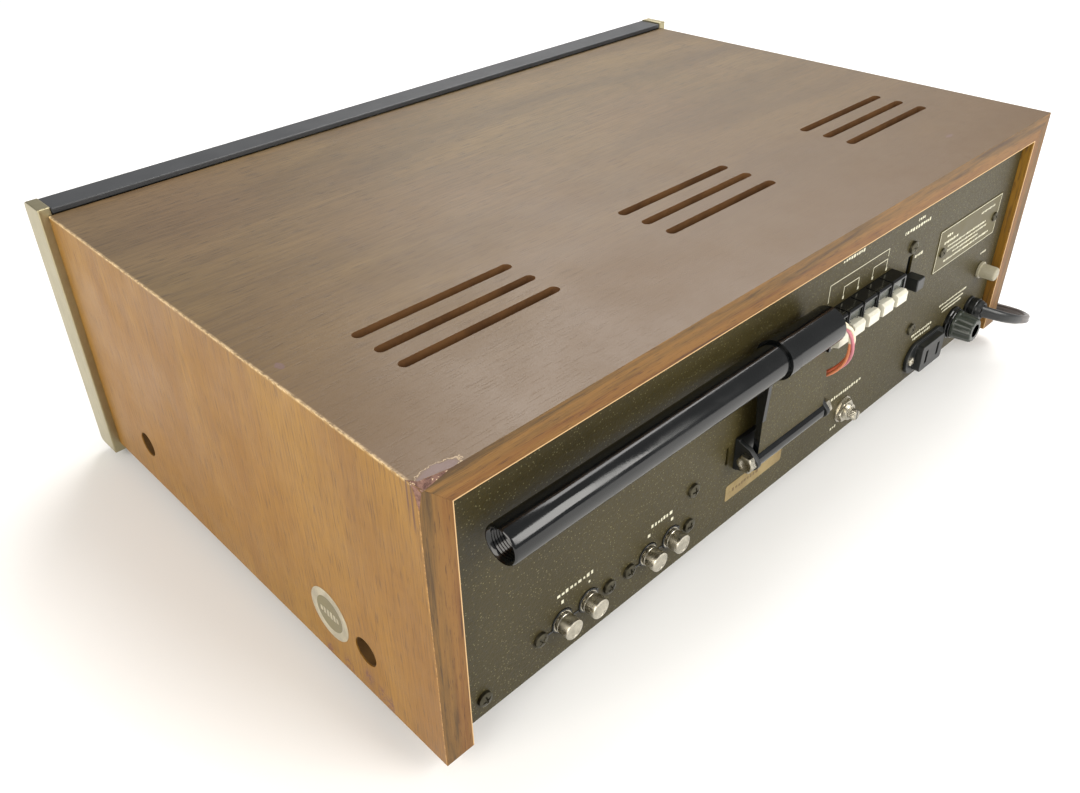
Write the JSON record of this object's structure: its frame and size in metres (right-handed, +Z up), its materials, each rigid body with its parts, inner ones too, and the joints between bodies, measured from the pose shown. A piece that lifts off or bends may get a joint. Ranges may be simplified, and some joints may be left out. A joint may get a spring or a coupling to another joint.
{
  "type": "stereo radio tuner",
  "caption": "Stereo radio tuner in a wooden case, with a swinging bar antenna, antenna terminals and capped phono sockets on its dark rear panel.",
  "frame": {"origin": "on the floor under the middle of the object, cord left out", "axes": "+Z up, rear panel to +Y, front fascia to -Y, +X to the right as seen from the front"},
  "size_m": [0.5515, 0.3332, 0.146],
  "materials": {
    "veneer_top": "open-pored walnut veneer, satin",
    "veneer_side": "golden walnut veneer, satin",
    "panel_paint": "dark olive-brown hammered enamel",
    "zinc_steel": "zinc-plated sheet",
    "screw_dark": "blackened steel",
    "champagne_aluminium": "brushed, champagne anodised",
    "strip_black": "satin black",
    "gloss_black": "polished black",
    "satin_black": "moulded black",
    "white_plastic": "cream white",
    "nickel": "nickel plate, a little dull",
    "clear_glass": "clear",
    "scale_black": "black scale with pale marks",
    "pointer_red": "red",
    "foot_rubber": "moulded",
    "board_phenolic": "phenolic laminate",
    "can_tin": "tinned",
    "core_iron": "varnished",
    "capacitor_sleeve": "blue sleeve",
    "lead_plastic": "orange and white insulation",
    "cord_plastic": "brown-grey flexible plastic",
    "thumb_plastic": "grey-beige moulding"
  },
  "bodies": {
    "chassis": {"ac_outlet": "satin_black", "antenna_lead": "lead_plastic", "antenna_mount": "satin_black", "antenna_switch": "satin_black", "bezel_ends": "champagne_aluminium", "bezel_strips": "strip_black", "capacitors": "capacitor_sleeve", "case_screws": "screw_dark", "case_side_left": "veneer_side", "case_side_right": "veneer_side", "case_top": "veneer_top", "chassis_tray": "zinc_steel", "control_switches": "satin_black", "cord_bushing": "satin_black", "cord_coil": "cord_plastic", "dial_plate": "scale_black", "dial_window": "clear_glass", "feet": "foot_rubber", "front_fascia": "champagne_aluminium", "front_subpanel": "zinc_steel", "fuse_holder": "satin_black", "gang_frame": "zinc_steel", "main_board": "board_phenolic", "mains_cord": "cord_plastic", "mains_plug": "satin_black", "meter_cases": "satin_black", "muting_pot": "nickel", "phono_sockets": "nickel", "pivot_bolt": "zinc_steel", "power_transformer": "core_iron", "rear_panel": "panel_paint", "rear_panel_screws": "screw_dark", "shield_cans": "can_tin", "terminal_block": "gloss_black"},
    "antenna": {"antenna_tube": "gloss_black", "ferrite_rod": "core_iron", "antenna_bracket": "gloss_black"},
    "lever_1": {"terminal_lever_1": "white_plastic"},
    "lever_2": {"terminal_lever_2": "white_plastic"},
    "lever_3": {"terminal_lever_3": "white_plastic"},
    "lever_4": {"terminal_lever_4": "white_plastic"},
    "lever_5": {"terminal_lever_5": "white_plastic"},
    "switch_slider": {"antenna_switch_knob": "satin_black"},
    "muting_control": {"muting_shaft": "nickel"},
    "fuse_carrier": {"fuse_cap": "satin_black"},
    "ground_terminal": {"ground_screw": "thumb_plastic"},
    "cap_1": {"shorting_cap_1": "nickel"},
    "cap_2": {"shorting_cap_2": "nickel"},
    "cap_3": {"shorting_cap_3": "nickel"},
    "cap_4": {"shorting_cap_4": "nickel"},
    "tuning_control": {"tuning_knob": "champagne_aluminium", "tuning_shaft": "zinc_steel"},
    "gang": {"dial_drum": "satin_black", "gang_rotor": "zinc_steel"},
    "pointer": {"dial_pointer": "pointer_red"},
    "signal_hand": {"signal_needle": "pointer_red"},
    "tuning_hand": {"tuning_needle": "pointer_red"},
    "selector": {"selector_knob": "champagne_aluminium"},
    "power": {"power_button": "champagne_aluminium"},
    "muting_switch": {"muting_button": "champagne_aluminium"}
  },
  "joints": [
    {"name": "antenna_swing", "type": "hinge", "parent": "chassis", "child": "antenna", "pos_m": [0.018, 0.152, 0.0535], "axis": [-1, 0, 0], "range_deg": [0, 90], "deforming": ["antenna_lead"]},
    {"name": "lever_1_press", "type": "hinge", "parent": "chassis", "child": "lever_1", "pos_m": [-0.0156, 0.1487, 0.0845], "axis": [-1, 0, 0], "range_deg": [0, 12], "stiffness_Nm_per_rad": 0.02},
    {"name": "lever_2_press", "type": "hinge", "parent": "chassis", "child": "lever_2", "pos_m": [-0.0285, 0.1487, 0.0845], "axis": [-1, 0, 0], "range_deg": [0, 12], "stiffness_Nm_per_rad": 0.02},
    {"name": "lever_3_press", "type": "hinge", "parent": "chassis", "child": "lever_3", "pos_m": [-0.0414, 0.1487, 0.0845], "axis": [-1, 0, 0], "range_deg": [0, 12], "stiffness_Nm_per_rad": 0.02},
    {"name": "lever_4_press", "type": "hinge", "parent": "chassis", "child": "lever_4", "pos_m": [-0.0543, 0.1487, 0.0845], "axis": [-1, 0, 0], "range_deg": [0, 12], "stiffness_Nm_per_rad": 0.02},
    {"name": "lever_5_press", "type": "hinge", "parent": "chassis", "child": "lever_5", "pos_m": [-0.0672, 0.1487, 0.0845], "axis": [-1, 0, 0], "range_deg": [0, 12], "stiffness_Nm_per_rad": 0.02},
    {"name": "antenna_switch_slide", "type": "slide", "parent": "chassis", "child": "switch_slider", "axis": [0, 0, 1], "range_m": [0, 0.008]},
    {"name": "muting_turn", "type": "hinge", "parent": "chassis", "child": "muting_control", "pos_m": [-0.0493, 0.1493, 0.029], "axis": [0, 1, 0], "range_deg": [-135, 135]},
    {"name": "fuse_cap_pull", "type": "slide", "parent": "chassis", "child": "fuse_carrier", "axis": [0, 1, 0], "range_m": [0, 0.03]},
    {"name": "ground_screw_turn", "type": "hinge", "parent": "chassis", "child": "ground_terminal", "pos_m": [-0.189, 0.1493, 0.0562], "axis": [0, 1, 0], "range_deg": [-360, 360]},
    {"name": "shorting_cap_1_pull", "type": "slide", "parent": "chassis", "child": "cap_1", "axis": [0, 1, 0], "range_m": [0, 0.014]},
    {"name": "shorting_cap_2_pull", "type": "slide", "parent": "chassis", "child": "cap_2", "axis": [0, 1, 0], "range_m": [0, 0.014]},
    {"name": "shorting_cap_3_pull", "type": "slide", "parent": "chassis", "child": "cap_3", "axis": [0, 1, 0], "range_m": [0, 0.014]},
    {"name": "shorting_cap_4_pull", "type": "slide", "parent": "chassis", "child": "cap_4", "axis": [0, 1, 0], "range_m": [0, 0.014]},
    {"name": "tuning_turn", "type": "hinge", "parent": "chassis", "child": "tuning_control", "pos_m": [0.165, -0.14, 0.098], "axis": [0, 1, 0], "range_deg": [-900, 900]},
    {"name": "gang_turn", "type": "hinge", "parent": "chassis", "child": "gang", "pos_m": [0.02, -0.1, 0.068], "axis": [0, 1, 0], "range_deg": [-90.5, 90.5]},
    {"name": "pointer_travel", "type": "slide", "parent": "chassis", "child": "pointer", "axis": [1, 0, 0], "range_m": [-0.0663, 0.0663]},
    {"name": "signal_needle_swing", "type": "hinge", "parent": "chassis", "child": "signal_hand", "pos_m": [-0.172, -0.128, 0.089], "axis": [0, 1, 0], "range_deg": [0, 80], "stiffness_Nm_per_rad": 0.0003},
    {"name": "tuning_needle_swing", "type": "hinge", "parent": "chassis", "child": "tuning_hand", "pos_m": [-0.124, -0.128, 0.089], "axis": [0, 1, 0], "range_deg": [-35, 35], "stiffness_Nm_per_rad": 0.0003},
    {"name": "selector_turn", "type": "hinge", "parent": "chassis", "child": "selector", "pos_m": [0.165, -0.14, 0.038], "axis": [0, 1, 0], "range_deg": [0, 120]},
    {"name": "power_button_press", "type": "slide", "parent": "chassis", "child": "power", "axis": [0, 1, 0], "range_m": [0, 0.004], "stiffness_N_per_m": 200},
    {"name": "muting_button_press", "type": "slide", "parent": "chassis", "child": "muting_switch", "axis": [0, 1, 0], "range_m": [0, 0.004], "stiffness_N_per_m": 200}
  ],
  "couplings": [
    {"joint": "gang_turn", "follows": "tuning_turn", "ratio": 0.1},
    {"joint": "pointer_travel", "follows": "tuning_turn", "m_per_rad": 0.0042}
  ]
}
